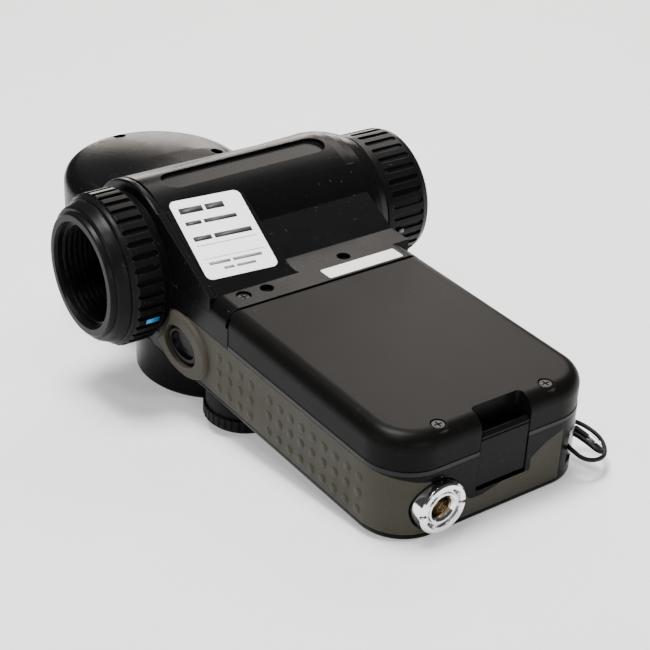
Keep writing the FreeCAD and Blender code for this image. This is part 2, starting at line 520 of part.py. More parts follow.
def head_back_shell():
    outer = head_outline(HEAD_SPLIT_Z).extrude(Vector(0, 0, HEAD_BACK_Z - HEAD_SPLIT_Z))
    outer = soften(outer, 4.5, lambda e: edge_at(z=HEAD_BACK_Z)(e) and e.BoundBox.YMax > HEAD_Y0 + 1)
    dome_r, dome_h = 20.2, 2.3
    curve = (dome_r ** 2 + dome_h ** 2) / (2 * dome_h)
    dome = Part.makeSphere(curve, Vector(0, HEAD_CY, HEAD_BACK_Z + dome_h - curve)).common(
        rod((0, HEAD_CY, HEAD_BACK_Z - 1), Z, 26, 5)).common(
        box(-30, 30, HEAD_Y0 + 3, 175, HEAD_BACK_Z, 0))
    inner = head_outline(HEAD_SPLIT_Z - 1, 2.0).extrude(Vector(0, 0, HEAD_BACK_Z - HEAD_SPLIT_Z - 0.9))
    posts = [rod((x, y, HEAD_SPLIT_Z), Z, 2.4, 8.4) for x, y in head_screw_places()]
    posts.append(rod((0, HEAD_CY + 1, -12.2), Z, 3.0, 4.6))
    seats = [rod((x, y, HEAD_BACK_Z - 1.6), Z, 1.7, 6) for x, y in head_screw_places()]
    shanks = [rod((x, y, HEAD_SPLIT_Z - 1), Z, 0.9, 12) for x, y in head_screw_places()]
    bore = rod((0, HEAD_Y0 - 1, SWIVEL_Z), Y, SWIVEL_R, 5)
    inner = soften(inner, 3.0, edge_at(z=HEAD_BACK_Z - 1.9))
    return cut(fuse(cut(fuse(outer, dome), inner), *posts), bore, *seats, *shanks)


def head_front_shell():
    outer = head_outline(HEAD_FRONT_Z).extrude(Vector(0, 0, HEAD_SPLIT_Z - 0.1 - HEAD_FRONT_Z))
    outer = soften(outer, 2.5, lambda e: edge_at(z=HEAD_FRONT_Z)(e) and e.BoundBox.YMax > HEAD_Y0 + 1)
    inner = head_outline(HEAD_FRONT_Z + SKIN, 2.0).extrude(Vector(0, 0, 20))
    hole = rod((0, HEAD_CY, HEAD_FRONT_Z - 1), Z, 20.0, 5)
    posts = [rod((x, y, HEAD_SPLIT_Z - 3.0), Z, 1.9, 2.9) for x, y in head_screw_places()]
    bore = rod((0, HEAD_Y0 - 1, SWIVEL_Z), Y, SWIVEL_R, 5)
    shanks = [rod((x, y, HEAD_SPLIT_Z - 4), Z, 0.9, 6) for x, y in head_screw_places()]
    webs = [box(-6, 6, 163.6, 168.6, HEAD_SPLIT_Z - 3.0, HEAD_SPLIT_Z - 1.6),
            box(17.2, 23.4, 141.4, 144.4, HEAD_SPLIT_Z - 3.0, HEAD_SPLIT_Z - 1.6),
            box(-24.4, -14.5, 127.8, 130.2, HEAD_SPLIT_Z - 3.0, HEAD_SPLIT_Z - 1.6)]
    return cut(fuse(cut(outer, inner), *posts, *webs), hole, bore, *shanks)


def swivel_shaft():
    shaft = turn((0, 0, SWIVEL_Z), Y, [(115.5, 4.2), (115.5, 7.8), (117.9, 7.8), (117.9, SWIVEL_R),
                                       (126.4, SWIVEL_R), (126.4, 4.2)])
    return shaft


def lumisphere():
    """Translucent half-dome diffuser with a thin flange."""
    height = -24.0 - DOME_TIP_Z
    outer_r = (DOME_R ** 2 + height ** 2) / (2 * height)
    centre = Vector(0, HEAD_CY, DOME_TIP_Z + outer_r)
    wall = 1.3
    cap = Part.makeSphere(outer_r, centre).cut(Part.makeSphere(outer_r - wall, centre))
    cap = cap.common(rod((0, HEAD_CY, DOME_TIP_Z - 1), Z, 30, -24.0 - DOME_TIP_Z + 1))
    flange = tube((0, HEAD_CY, -24.0), Z, 18.0, 15.6, 1.0)
    return fuse(cap, flange)


def lumisphere_ring():
    ring = turn((0, HEAD_CY, 0), Z, [(-28.4, 18.4), (-28.4, 18.8), (-27.6, 19.6), (-23.9, 19.6),
                                     (-23.9, 20.4), (-22.9, 20.4), (-22.9, 18.4)])
    knurl = rod((19.85, HEAD_CY, -29), Z, 0.45, 2.6)
    return cut(ring, *around(knurl, (0, HEAD_CY, 0), Z, 48))


# ---- strap cord ---------------------------------------------------------------------------
# The cord starts in the sleeve that joins its two ends, lies in a small open loop round the
# corner of the body, passes behind the strap pin and comes back into the sleeve's ferrule.
SLEEVE_TOP, SLEEVE_ALONG = (23.3, 6.4, -18.4), Vector(0.0, -1, -0.04)
SLEEVE_LENGTH, FERRULE_LENGTH = 4.6, 2.4
CORD_ROUTE = [SLEEVE_TOP, (23.3, 9.0, -18.3), (25.9, 10.8, -19.2), (28.3, 7.6, -20.1),
              (28.1, 2.4, -20.4), (24.9, -2.2, -20.5), (20.6, -3.8, -19.6), (17.0, -3.0, -18.4),
              (16.5, 0.6, -17.6), (17.0, 4.6, -17.2), (20.6, 5.6, -17.2), (21.2, 0.2, -17.5),
              (21.2, -3.0, -17.9), (23.3, -3.2, -18.78), (23.3, -0.59, -18.68)]


def cord_path(points):
    """Straight runs joined by tangent arcs, and the arcs' radii."""
    nodes = [Vector(*p) for p in points]
    edges, radii, last = [], [], nodes[0]
    for before, here, after in zip(nodes, nodes[1:], nodes[2:]):
        back, on = before - here, after - here
        turn_angle = math.pi - back.getAngle(on)
        reach = 0.45 * min(back.Length, on.Length)
        radii.append(reach / math.tan(turn_angle / 2))
        back.normalize()
        on.normalize()
        start, end = here + back * reach, here + on * reach
        middle = (back + on).normalize()
        half = (math.pi - turn_angle) / 2
        centre = here + middle * (radii[-1] / math.sin(half))
        edges.append(Part.LineSegment(last, start).toShape())
        edges.append(Part.Arc(start, centre - middle * radii[-1], end).toShape())
        last = end
    edges.append(Part.LineSegment(last, nodes[-1]).toShape())
    return Part.Wire(edges), radii


def strap_cord():
    path, radii = cord_path(CORD_ROUTE)
    start = Vector(*CORD_ROUTE[0])
    along = Vector(*CORD_ROUTE[1]) - start
    ring = Part.Wire(Part.Circle(start, along, CORD_R).toShape())
    solid = Part.Wire(path.Edges).makePipeShell([ring], True, False)
    print("cord length %.2f, radii %s" % (path.Length, [round(r, 1) for r in radii]))
    print("cord volume %.3f, section times length %.3f"
          % (solid.Volume, math.pi * CORD_R ** 2 * path.Length))
    return solid


def sleeve_end():
    return Vector(*SLEEVE_TOP) + Vector(SLEEVE_ALONG).normalize() * SLEEVE_LENGTH


# ---- the meter, node by node --------------------------------------------------------------
def meter():
    shell = casing_shell()
    nodes = {
        "front_casing": front_casing(shell),
        "rear_housing": rear_housing(shell),
        "mid_casing": mid_casing(),
        "back_cover": back_cover(),
        "cover_screws": Part.makeCompound([screw((x, 3.4, -0.15), -Z, 1.55, 0.7, 0.75, 5.0)
                                           for x in (-19.2, 9.3)]),
        "battery_latch": battery_latch(),
        "latch_pin": rod((NOTCH_X0 - 1.2, LATCH_PIVOT_Y, LATCH_PIVOT_Z), X, 0.6,
                         NOTCH_X1 - NOTCH_X0 + 2.4),
        "latch_spring": fuse(box(-7.0, -0.4, 3.3, 3.6, -17.6, -11.0),
                             box(-5.6, -1.8, 3.1, 3.3, -17.6, -16.6)),
        "rubber_trim": rubber_trim(),
        "tripod_socket": tripod_socket(),
        "strap_pin": rod((LUG_X, LUG_Y, LUG_Z0), Z, 0.8, LUG_Z1 - LUG_Z0),
        "strap_cord": strap_cord(),
        "cord_sleeve": rod(SLEEVE_TOP, SLEEVE_ALONG, 1.0, SLEEVE_LENGTH),
        "cord_ferrule": rod(sleeve_end(), SLEEVE_ALONG, 1.25, FERRULE_LENGTH),
        "housing_screw": screw((-24.3, 66.0, -0.5), -Z, 1.65, 0.8, 0.85, 6.6),
        "label_plate": label_plate(),
        "serial_plate": slab(-3.3, 17.7, 62.2, 66.4, -0.15, 0.1, 0.5, 0.5),
        "measuring_button": measuring_button(),
        "measuring_switch": box(-27.8, -23.5, 73.5, 77.8, -18.7, -13.5),
        "jog_wheel": jog_wheel(),
        "jog_axle": jog_axle(),
        "display_window": slab(-24.9, 14.9, 29.1, 56.4, FRONT_Z + 0.02, FRONT_Z + 1.0, 1.9, 1.9),
        "display_module": box(-25, 15, 29.4, 56.2, FRONT_Z + SKIN, FRONT_Z + SKIN + 2.8),
        "keypad": slab(-24, 15, 9.2, 26.0, FRONT_Z + 3.15, FRONT_Z + 3.8, 1, 1),
        "main_board": main_board(),
        "radio_board": radio_board(),
        "battery": battery(),
        "battery_contacts": battery_contacts(),
        "sync_terminal": sync_terminal(),
        "sync_cap": sync_cap(),
        "objective_tube": objective_tube(),
        "objective_front_ring": objective_front_ring(),
        "selector_ring": selector_ring(),
        "objective_lens": lens(-34.8, -32.2, 10.3, 1.2, 0.9),
        "relay_lens": lens(-29.0, -27.4, 9.2, 0.9, 0.7),
        "finder_chassis": finder_chassis(),
        "image_prism": image_prism(),
        "reticle_plate": box(13.0, 14.2, BARREL_Y - 7.5, BARREL_Y + 7.5, BARREL_Z - 9.6,
                             BARREL_Z + 7.5),
        "spot_sensor": spot_sensor(),
        "eyepiece_tube": barrel_turn([(26.0, 10.6), (26.0, EYE_TUBE_R), (28.0, EYE_TUBE_R),
                                      (28.0, 14.4), (29.2, 14.4), (29.2, EYE_TUBE_R),
                                      (44.9, EYE_TUBE_R), (44.9, 10.6)]),
        "eyepiece_ring": eyepiece_ring(),
        "eyepiece_lens_cell": tube((35.5, BARREL_Y, BARREL_Z), X, 10.55, 9.0, 5.5),
        "eyepiece_lens": lens(36.8, 39.2, 8.95, 1.1, 0.8),
        "eyecup": barrel_turn([(45.1, 8.0), (45.1, 14.6), (45.7, 14.2), (BARREL_HALF, 13.2),
                               (BARREL_HALF, 8.8), (45.7, 8.0)]),
        "head_back_shell": head_back_shell(),
        "head_front_shell": head_front_shell(),
        "head_screws": Part.makeCompound([screw((x, y, HEAD_BACK_Z - 0.8), -Z, 1.6, 0.8, 0.85, 9.4)
                                          for x, y in head_screw_places()]),
        "swivel_shaft": swivel_shaft(),
        "photocell_board": rod((0, HEAD_CY + 1, -13.4), Z, 13.0, 1.2),
        "photocell": rod((0, HEAD_CY + 1, -16.2), Z, 6.0, 2.8),
        "lumisphere": lumisphere(),
        "lumisphere_ring": lumisphere_ring(),
    }
    for name, (x, y) in zip(KEY_NAMES, KEY_PLACES):
        nodes[name] = key(x, y)
    return nodes


def tripod_socket():
    """Chromed brass bush with a 1/4-20 thread, a slotted flange and four key slots."""
    bush = turn((SOCKET_X, 0, SOCKET_Z), Y, [(-1.2, SOCKET_THREAD_R), (-1.8, 3.1), (-1.8, 3.5),
                                             (-1.2, 3.7), (-1.2, 4.1), (-2.1, 4.3), (-2.1, 5.5),
                                             (-1.7, 5.9), (1.6, 5.9), (1.6, 5.0), (8.2, 5.0),
                                             (8.2, 0), (6.0, 0), (6.0, SOCKET_THREAD_R)])
    slots = []
    for angle in (45, 135, 225, 315):
        arc = turn((SOCKET_X, 0, SOCKET_Z), Y, [(-2.3, 4.0), (-2.3, 4.7), (-0.6, 4.7), (-0.6, 4.0)])
        wedge = box(SOCKET_X + 2.0, SOCKET_X + 8, -3, 1, SOCKET_Z - 1.5, SOCKET_Z + 1.5)
        wedge.rotate(Vector(SOCKET_X, 0, SOCKET_Z), Y, angle)
        slots.append(arc.common(wedge))
    drive = box(SOCKET_X - 8, SOCKET_X + 8, -2.3, -1.5, SOCKET_Z - 0.4, SOCKET_Z + 0.4)
    hub = rod((SOCKET_X, -3, SOCKET_Z), Y, 3.9, 3)
    drive.rotate(Vector(SOCKET_X, 0, SOCKET_Z), Y, 0)
    return cut(bush, drive.cut(hub), *slots)


def label_plate():
    """Blank white name plate on the fairing."""
    plate = slab(LABEL_X - 9.2, LABEL_X + 9.2, 0, 22.8, 0.0, 0.15, 1.6, 1.6)
    plate.rotate(Vector(LABEL_X, 11.4, 0), Z, -LABEL_SKEW)
    plate.rotate(Vector(0, 0, 0), X, FAIRING_SLOPE)
    rise = math.radians(FAIRING_SLOPE)
    start = 3.9
    plate.translate(Vector(0, FAIRING_Y + start * math.cos(rise), start * math.sin(rise)))
    return plate


def main_board():
    board = slab(-27.0, 18.0, 28.6, 78.0, -19.9, -18.7, 0, 0)
    wheel_gap = rod((WHEEL_X, WHEEL_Y, -30), Z, 4.2, 15)
    chips = [box(x, x + w, y, y + h, -18.7, -18.7 + t)
             for x, y, w, h, t in ((-14, 34, 11, 11, 1.4), (2, 36, 8, 6, 1.0), (-10, 52, 7, 5, 1.2),
                                   (4, 58, 9, 9, 1.6), (-20, 44, 3, 6, 1.0))]
    return cut(fuse(board, *chips), wheel_gap)


def radio_board():
    board = box(-26.0, 16.5, 28.4, 53.0, -6.2, -5.0)
    can = box(-12, 6, 34, 48, -5.0, -2.6)
    crystal = box(-22, -17, 38, 41, -5.0, -3.4)
    return fuse(board, can, crystal)


def battery():
    return fuse(rod((-24.8, 18.25, BATTERY_Z), X, 8.5, 33.4),
                rod((8.6, 18.25, BATTERY_Z), X, 3.2, 0.9))


def battery_contacts():
    low, high = BATTERY_Z - 5.0, BATTERY_Z + 5.0
    plus = box(10.4, 11.0, 13.6, 22.8, low, high)
    minus = box(-26.4, -25.8, 13.6, 22.8, low, high)
    bumps = [rod((9.6, 18.25, BATTERY_Z), X, 2.0, 0.8), rod((-25.8, 18.25, BATTERY_Z), X, 2.4, 0.9)]
    return Part.makeCompound([fuse(plus, bumps[0]), fuse(minus, bumps[1])])


def sync_terminal():
    return turn((0, 46, -17), X, [(18.3, 0.8), (18.3, 4.2), (19.3, 4.2), (19.3, 3.55),
                                  (BODY_RIGHT + 0.6, 3.55), (BODY_RIGHT + 0.6, 2.4), (19.4, 2.4),
                                  (19.4, 0.8)])


def sync_cap():
    return turn((0, 46, -17), X, [(19.7, 0), (19.7, 2.3), (BODY_RIGHT + 0.7, 2.3),
                                  (BODY_RIGHT + 0.7, 4.4),
                                  (BODY_RIGHT + 2.0, 4.4), (BODY_RIGHT + 2.4, 4.0),
                                  (BODY_RIGHT + 2.4, 0)])


def image_prism():
    """Erecting prism block with its two roof faces cut."""
    block = box(-12, 10, BARREL_Y - 8.5, BARREL_Y + 8.5, BARREL_Z - 9.6, BARREL_Z + 7.5)
    chamfer = prism_x([(BARREL_Y - 9, BARREL_Z + 2), (BARREL_Y - 3, BARREL_Z + 8),
                       (BARREL_Y - 9, BARREL_Z + 8)], -13, 11)
    other = prism_x([(BARREL_Y + 9, BARREL_Z + 2), (BARREL_Y + 9, BARREL_Z + 8),
                     (BARREL_Y + 3, BARREL_Z + 8)], -13, 11)
    return cut(block, chamfer, other)


def spot_sensor():
    board = box(-8, 6, BARREL_Y - 7, BARREL_Y + 7, BARREL_Z - 13.4, BARREL_Z - 12.4)
    cell = rod((-1, BARREL_Y, BARREL_Z - 12.4), Z, 3.0, 1.4)
    return fuse(board, cell)


def to_rest(shape):
    """Lays the level drawing down on the table, tipped about its lower front edge."""
    tilt = math.radians(REST_TILT)
    move = Matrix()
    move.rotateX(tilt)
    move.move(Vector(0, REST_SHIFT_Y, REST_DROP))
    return shape.transformed(move)


def main():
    os.makedirs("parts", exist_ok=True)
    print("rest tilt %.4f degrees" % REST_TILT)
    whole = FreeCAD.BoundBox()
    for name, shape in meter().items():
        placed = to_rest(shape)
        solids = placed.Solids
        if not placed.isValid() or not solids:
            print("PROBLEM", name, "valid", placed.isValid(), "solids", len(solids))
        placed.exportStep("parts/%s.step" % name)
        if name not in ("strap_cord", "cord_sleeve", "cord_ferrule"):
            whole.add(placed.BoundBox)
        print("%-26s solids %d volume %.1f" % (name, len(solids), placed.Volume))
    print("box", whole)


main()
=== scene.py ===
import json
import math
import bpy
import bmesh
from mathutils import Matrix, Vector


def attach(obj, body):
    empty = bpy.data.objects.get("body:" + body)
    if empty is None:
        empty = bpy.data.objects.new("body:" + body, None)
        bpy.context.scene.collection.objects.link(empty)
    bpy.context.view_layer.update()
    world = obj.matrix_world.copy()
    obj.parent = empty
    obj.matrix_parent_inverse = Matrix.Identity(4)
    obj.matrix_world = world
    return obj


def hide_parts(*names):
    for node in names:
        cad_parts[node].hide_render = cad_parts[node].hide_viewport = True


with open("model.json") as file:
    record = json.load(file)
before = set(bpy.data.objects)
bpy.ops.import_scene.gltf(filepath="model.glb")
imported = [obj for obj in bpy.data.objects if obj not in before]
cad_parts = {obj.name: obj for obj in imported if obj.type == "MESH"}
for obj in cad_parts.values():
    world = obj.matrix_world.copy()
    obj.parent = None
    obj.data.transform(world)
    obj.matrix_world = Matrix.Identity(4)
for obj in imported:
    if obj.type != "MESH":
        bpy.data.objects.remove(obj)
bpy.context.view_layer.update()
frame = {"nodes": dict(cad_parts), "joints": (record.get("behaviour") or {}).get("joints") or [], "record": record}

# ---- the meter's own level frame, as the CAD draws it, in millimetres --------------------
# The head's swivel joint gives the direction of the body's length and a point on it.
swivel = [j for j in frame["joints"] if j["name"] == "head_swivel"][0]
AX = Vector((1, 0, 0))
AY = Vector(swivel["axis"]).normalized()
AZ = AX.cross(AY)
MM = 0.001
SWIVEL_Y, SWIVEL_Z = 121.0, -14.0           # the swivel's start, in the level frame
ORIGIN = Vector(swivel["pos_m"]) - AY * SWIVEL_Y * MM - AZ * SWIVEL_Z * MM
BODY = Matrix(((AX.x * MM, AY.x * MM, AZ.x * MM, ORIGIN.x),
               (AX.y * MM, AY.y * MM, AZ.y * MM, ORIGIN.y),
               (AX.z * MM, AY.z * MM, AZ.z * MM, ORIGIN.z),
               (0, 0, 0, 1)))
BARREL_Y, BARREL_Z = 101.8, -6.0            # the axis of the cross barrel


def at(x, y, z):
    return BODY @ Vector((x, y, z))


# ---- materials ----------------------------------------------------------------------------
WEAR_REACH = 0.5                            # how far rubbed edges reach, in millimetres
DUST_COLOR = (0.42, 0.41, 0.39)


def surface(name, color, rough, metal=0.0, coat=0.0, coat_rough=0.1, sheen=0.0, spec=0.5,
            vary=0.12, rough_vary=0.08, grain=0.35, grain_depth=0.012, wear=0.0,
            wear_color=(0.16, 0.16, 0.165), dust=0.0, brushed=0.0, transmission=0.0, ior=1.46,
            edge=0.15, mottle=0.0):
    """A moulded, painted or metal finish: colour drift, grain, edge wear and a little dust.

    grain is the grain's size, grain_depth its height and edge the radius of the softened
    edges, all in millimetres."""
    mat = bpy.data.materials.new(name)
    mat.use_nodes = True
    tree = mat.node_tree
    nodes, links = tree.nodes, tree.links
    nodes.clear()
    out = nodes.new("ShaderNodeOutputMaterial")
    shader = nodes.new("ShaderNodeBsdfPrincipled")
    links.new(shader.outputs[0], out.inputs[0])
    shader.inputs["Metallic"].default_value = metal
    shader.inputs["IOR"].default_value = ior
    shader.inputs["Specular IOR Level"].default_value = spec
    shader.inputs["Coat Weight"].default_value = coat
    shader.inputs["Coat Roughness"].default_value = coat_rough
    shader.inputs["Sheen Weight"].default_value = sheen
    shader.inputs["Transmission Weight"].default_value = transmission
    coords = nodes.new("ShaderNodeTexCoord").outputs["Object"]

    def noise(scale, detail=3.0, roughness=0.55, stretch=None):
        node = nodes.new("ShaderNodeTexNoise")
        node.inputs["Scale"].default_value = scale
        node.inputs["Detail"].default_value = detail
        node.inputs["Roughness"].default_value = roughness
        if stretch:
            mapping = nodes.new("ShaderNodeMapping")
            mapping.inputs["Scale"].default_value = stretch
            links.new(coords, mapping.inputs["Vector"])
            links.new(mapping.outputs[0], node.inputs["Vector"])
        else:
            links.new(coords, node.inputs["Vector"])
        return node.outputs["Fac"]

    def span(value, low, high, to_low, to_high):
        node = nodes.new("ShaderNodeMapRange")
        node.inputs["From Min"].default_value = low
        node.inputs["From Max"].default_value = high
        node.inputs["To Min"].default_value = to_low
        node.inputs["To Max"].default_value = to_high
        links.new(value, node.inputs["Value"])
        return node.outputs[0]

    def blend(fac, a, b):
        node = nodes.new("ShaderNodeMix")
        node.data_type = "RGBA"
        links.new(fac, node.inputs["Factor"])
        for socket, value in ((node.inputs["A"], a), (node.inputs["B"], b)):
            if isinstance(value, tuple):
                socket.default_value = (*value, 1)
            else:
                links.new(value, socket)
        return node.outputs["Result"]

    def times(a, b):
        node = nodes.new("ShaderNodeMath")
        node.operation = "MULTIPLY"
        links.new(a, node.inputs[0])
        links.new(b, node.inputs[1])
        return node.outputs[0]

    dark = tuple(c * (1 - vary) for c in color)
    light = tuple(min(1.0, c * (1 + vary)) for c in color)
    result = blend(span(noise(55.0), 0.35, 0.65, 0, 1), dark, light)
    roughness = span(noise(90.0, 4.0), 0.3, 0.7, max(0.02, rough - rough_vary), rough + rough_vary)
    if mottle:
        speck = span(noise(1400.0, 2.0), 0.52, 0.72, 0, mottle)
        result = blend(speck, result, tuple(min(1.0, c * 1.9 + 0.01) for c in color))
    bevel = None
    if edge:
        bevel = nodes.new("ShaderNodeBevel")
        bevel.samples = 4
        bevel.inputs["Radius"].default_value = edge * MM
    if wear:
        geometry = nodes.new("ShaderNodeNewGeometry")
        wide = nodes.new("ShaderNodeBevel")
        wide.samples = 4
        wide.inputs["Radius"].default_value = WEAR_REACH * MM
        dot = nodes.new("ShaderNodeVectorMath")
        dot.operation = "DOT_PRODUCT"
        links.new(wide.outputs[0], dot.inputs[0])
        links.new(geometry.outputs["Normal"], dot.inputs[1])
        rim = span(dot.outputs["Value"], 0.985, 0.86, 0, 1)
        rubbed = times(rim, span(noise(420.0, 5.0, 0.7), 0.45, 0.68, 0, wear))
        result = blend(rubbed, result, wear_color)
    if dust:
        specks = times(span(noise(900.0, 1.0), 0.70, 0.76, 0, 1),
                       span(noise(60.0, 2.0), 0.42, 0.62, 0, dust))
        result = blend(specks, result, DUST_COLOR)
    links.new(result, shader.inputs["Base Color"])
    links.new(roughness, shader.inputs["Roughness"])
    bump = nodes.new("ShaderNodeBump")
    bump.inputs["Strength"].default_value = 1.0
    bump.inputs["Distance"].default_value = grain_depth * MM
    stretch = (1.0, brushed, 1.0) if brushed else None
    links.new(noise(1000.0 / grain, 2.0, 0.5, stretch), bump.inputs["Height"])
    if bevel:
        links.new(bevel.outputs[0], bump.inputs["Normal"])
    links.new(bump.outputs[0], shader.inputs["Normal"])
    return mat


BLACK = (0.0032, 0.0032, 0.0034)
MATERIALS = {
    "casing": surface("casing_plastic", BLACK, 0.27, spec=0.06, rough_vary=0.02, grain=0.22,
                      grain_depth=0.0012, wear=0.10, wear_color=(0.05, 0.05, 0.05), dust=0.05,
                      edge=0.3),
    "cover": surface("cover_plastic", (0.0036, 0.0034, 0.0032), 0.36, spec=0.055, rough_vary=0.01,
                     grain=0.2, grain_depth=0.003, wear=0.10, wear_color=(0.05, 0.05, 0.05),
                     dust=0.02, edge=0.3),
    "deck": surface("deck_plastic", (0.006, 0.006, 0.0065), 0.4, spec=0.2, grain=0.25,
                    grain_depth=0.003),
    "inner_plastic": surface("inner_plastic", (0.03, 0.03, 0.032), 0.6),
    "grip": surface("grip_rubber", (0.036, 0.033, 0.024), 0.60, spec=0.12, sheen=0.05, vary=0.07,
                    grain=0.18, grain_depth=0.008, wear=0.25, wear_color=(0.16, 0.145, 0.115),
                    dust=0.06, edge=0.3, mottle=0.12),
    "soft_rubber": surface("black_rubber", (0.004, 0.004, 0.0042), 0.5, spec=0.06, grain=0.2,
                           grain_depth=0.005, dust=0.05, edge=0.2),
    "key_rubber": surface("key_rubber", (0.10, 0.10, 0.105), 0.6, sheen=0.1),
    "steel": surface("steel", (0.42, 0.42, 0.43), 0.32, metal=1.0, grain=0.12, grain_depth=0.002,
                     brushed=0.15),
    "black_screw": surface("black_screw", (0.006, 0.006, 0.006), 0.34, spec=0.2, wear=0.10,
                           wear_color=(0.15, 0.15, 0.15), edge=0.08),
    "socket": surface("socket_chrome", (0.88, 0.88, 0.89), 0.14, metal=1.0, rough_vary=0.05,
                      vary=0.05, grain=0.15, grain_depth=0.0012, edge=0.12),
    "brass": surface("brass", (0.42, 0.33, 0.21), 0.28, metal=1.0, edge=0.08),
    "ring": surface("ring_black", (0.005, 0.005, 0.0055), 0.3, spec=0.07, rough_vary=0.03,
                    grain=0.2, grain_depth=0.002, wear=0.18, wear_color=(0.06, 0.06, 0.06),
                    dust=0.06, edge=0.25),
    "optic_tube": surface("optic_black", (0.004, 0.004, 0.0045), 0.28, spec=0.2, grain=0.2,
                          grain_depth=0.002, edge=0.15),
    "label": surface("label_white", (0.93, 0.93, 0.92), 0.34, vary=0.012, rough_vary=0.05,
                     grain=0.3, grain_depth=0.002, edge=0.06),
    "serial": surface("serial_silver", (0.62, 0.62, 0.59), 0.38, vary=0.05, grain=0.3,
                      grain_depth=0.002, edge=0.06),
    "board": surface("board_green", (0.02, 0.11, 0.05), 0.45),
    "display": surface("display_glass", (0.22, 0.25, 0.2), 0.2),
    "cell": surface("cell_blue", (0.05, 0.06, 0.16), 0.2),
    "battery": surface("battery_wrap", (0.55, 0.45, 0.14), 0.35),
    "diffuser": surface("diffuser_white", (0.82, 0.82, 0.80), 0.42, transmission=0.35, vary=0.03),
    "cord": surface("cord_black", (0.004, 0.004, 0.004), 0.5, spec=0.15, grain=0.15, grain_depth=0.02),
    "ferrule": surface("ferrule_chrome", (0.8, 0.8, 0.8), 0.15, metal=1.0, edge=0.1),
    "window": surface("window_smoke", (0.015, 0.016, 0.018), 0.08, coat=0.6, coat_rough=0.04),
    "lens_glass": surface("lens_coated", (0.02, 0.03, 0.035), 0.04, coat=1.0, coat_rough=0.02,
                          grain_depth=0.0002, vary=0.3, rough_vary=0.015, ior=1.7, edge=0.1),
    "prism": surface("prism_glass", (0.75, 0.8, 0.82), 0.05, transmission=0.9, ior=1.6),
}
INK = surface("ink_dark", (0.02, 0.02, 0.022), 0.5, vary=0.2, edge=0)
INK_FINE = surface("ink_grey", (0.16, 0.16, 0.165), 0.5, vary=0.2, edge=0)
BLUE = surface("mark_blue", (0.01, 0.22, 0.50), 0.4, vary=0.08, edge=0)
PALE = surface("mark_pale", (0.09, 0.09, 0.09), 0.4, vary=0.08, edge=0)
slot_of = {s["node"]: s["material_slot"] for s in frame["record"]["subparts"]}
for name, obj in frame["nodes"].items():
    obj.data.materials.clear()
    obj.data.materials.append(MATERIALS[slot_of[name]])


# ---- small pieces added over the frame ----------------------------------------------------
def piece(name, body, slot, build, material=None):
    """A mesh made in the meter's level frame in millimetres by build(bm), riding on a body."""
    mesh = bpy.data.meshes.new(name)
    bm = bmesh.new()
    build(bm)
    bmesh.ops.recalc_face_normals(bm, faces=bm.faces)
    bm.transform(BODY)
    bm.to_mesh(mesh)
    bm.free()
    obj = bpy.data.objects.new(name, mesh)
    bpy.context.scene.collection.objects.link(obj)
    mesh.materials.append(material or MATERIALS[slot])
    for polygon in mesh.polygons:
        polygon.use_smooth = True
    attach(obj, body)


def dome(bm, centre, normal, radius, height, rings=4, sides=16):
    """A low round button standing on a surface."""
    normal = Vector(normal).normalized()
    side = normal.orthogonal().normalized()
    other = normal.cross(side)
    centre = Vector(centre)
    previous = None
    for i in range(rings + 1):
        a = math.pi / 2 * i / rings
        r, h = radius * math.cos(a), height * math.sin(a)
        if i == rings:
            top = bm.verts.new(centre + normal * h)
            for j in range(sides):
                bm.faces.new((previous[j], previous[(j + 1) % sides], top))
            break
        ring = [bm.verts.new(centre + normal * h + side * r * math.cos(2 * math.pi * j / sides)
                             + other * r * math.sin(2 * math.pi * j / sides))
                for j in range(sides)]
        if previous:
            for j in range(sides):
                bm.faces.new((previous[j], previous[(j + 1) % sides],
                              ring[(j + 1) % sides], ring[j]))
        previous = ring


def block(bm, centre, across, up, width, height, depth):
    """A thin block on a surface: across and up are its two directions."""
    across, up = Vector(across).normalized(), Vector(up).normalized()
    out = across.cross(up)
    centre = Vector(centre)
    corners = []
    for k in (0, 1):
        for u, v in ((-1, -1), (1, -1), (1, 1), (-1, 1)):
            corners.append(bm.verts.new(centre + across * u * width / 2 + up * v * height / 2
                                        + out * depth * k))
    for face in ((3, 2, 1, 0), (4, 5, 6, 7), (0, 1, 5, 4), (1, 2, 6, 5), (2, 3, 7, 6),
                 (3, 0, 4, 7)):
        bm.faces.new([corners[i] for i in face])


DOT_X, DOT_ROWS = -31.75, (-13.1, -17.0, -21.1)
DOT_RADIUS, DOT_HEIGHT = 1.15, 0.42
DOT_GROUPS = ((64.0, 4.3, 4), (43.9, 4.05, 9))      # each: first dot, spacing, how many


def grip_dots(bm):
    """Three rows of raised dots down the side, in a short and a long group."""
    for z in DOT_ROWS:
        for start, spacing, count in DOT_GROUPS:
            for i in range(count):
                dome(bm, (DOT_X, start - spacing * i, z), (-1, 0, 0), DOT_RADIUS, DOT_HEIGHT)


piece("grip_dots", "meter_body", "grip", grip_dots)


def ring_mark(x, angle, radius, width, length):
    """A painted mark on a barrel ring; the angle runs from the back towards the lower end."""
    def build(bm):
        a = math.radians(angle)
        out = Vector((0, -math.sin(a), math.cos(a)))
        up = out.cross(Vector((1, 0, 0)))
        block(bm, Vector((x, BARREL_Y, BARREL_Z)) + out * radius, (1, 0, 0), up, width, length, 0.1)
    return build


piece("selector_mark", "selector_ring", "ring", ring_mark(-36.9, 109, 18.38, 3.4, 1.4), BLUE)
piece("dioptre_mark", "dioptre_ring", "ring", ring_mark(35.6, 98.5, 16.72, 1.5, 1.2), PALE)

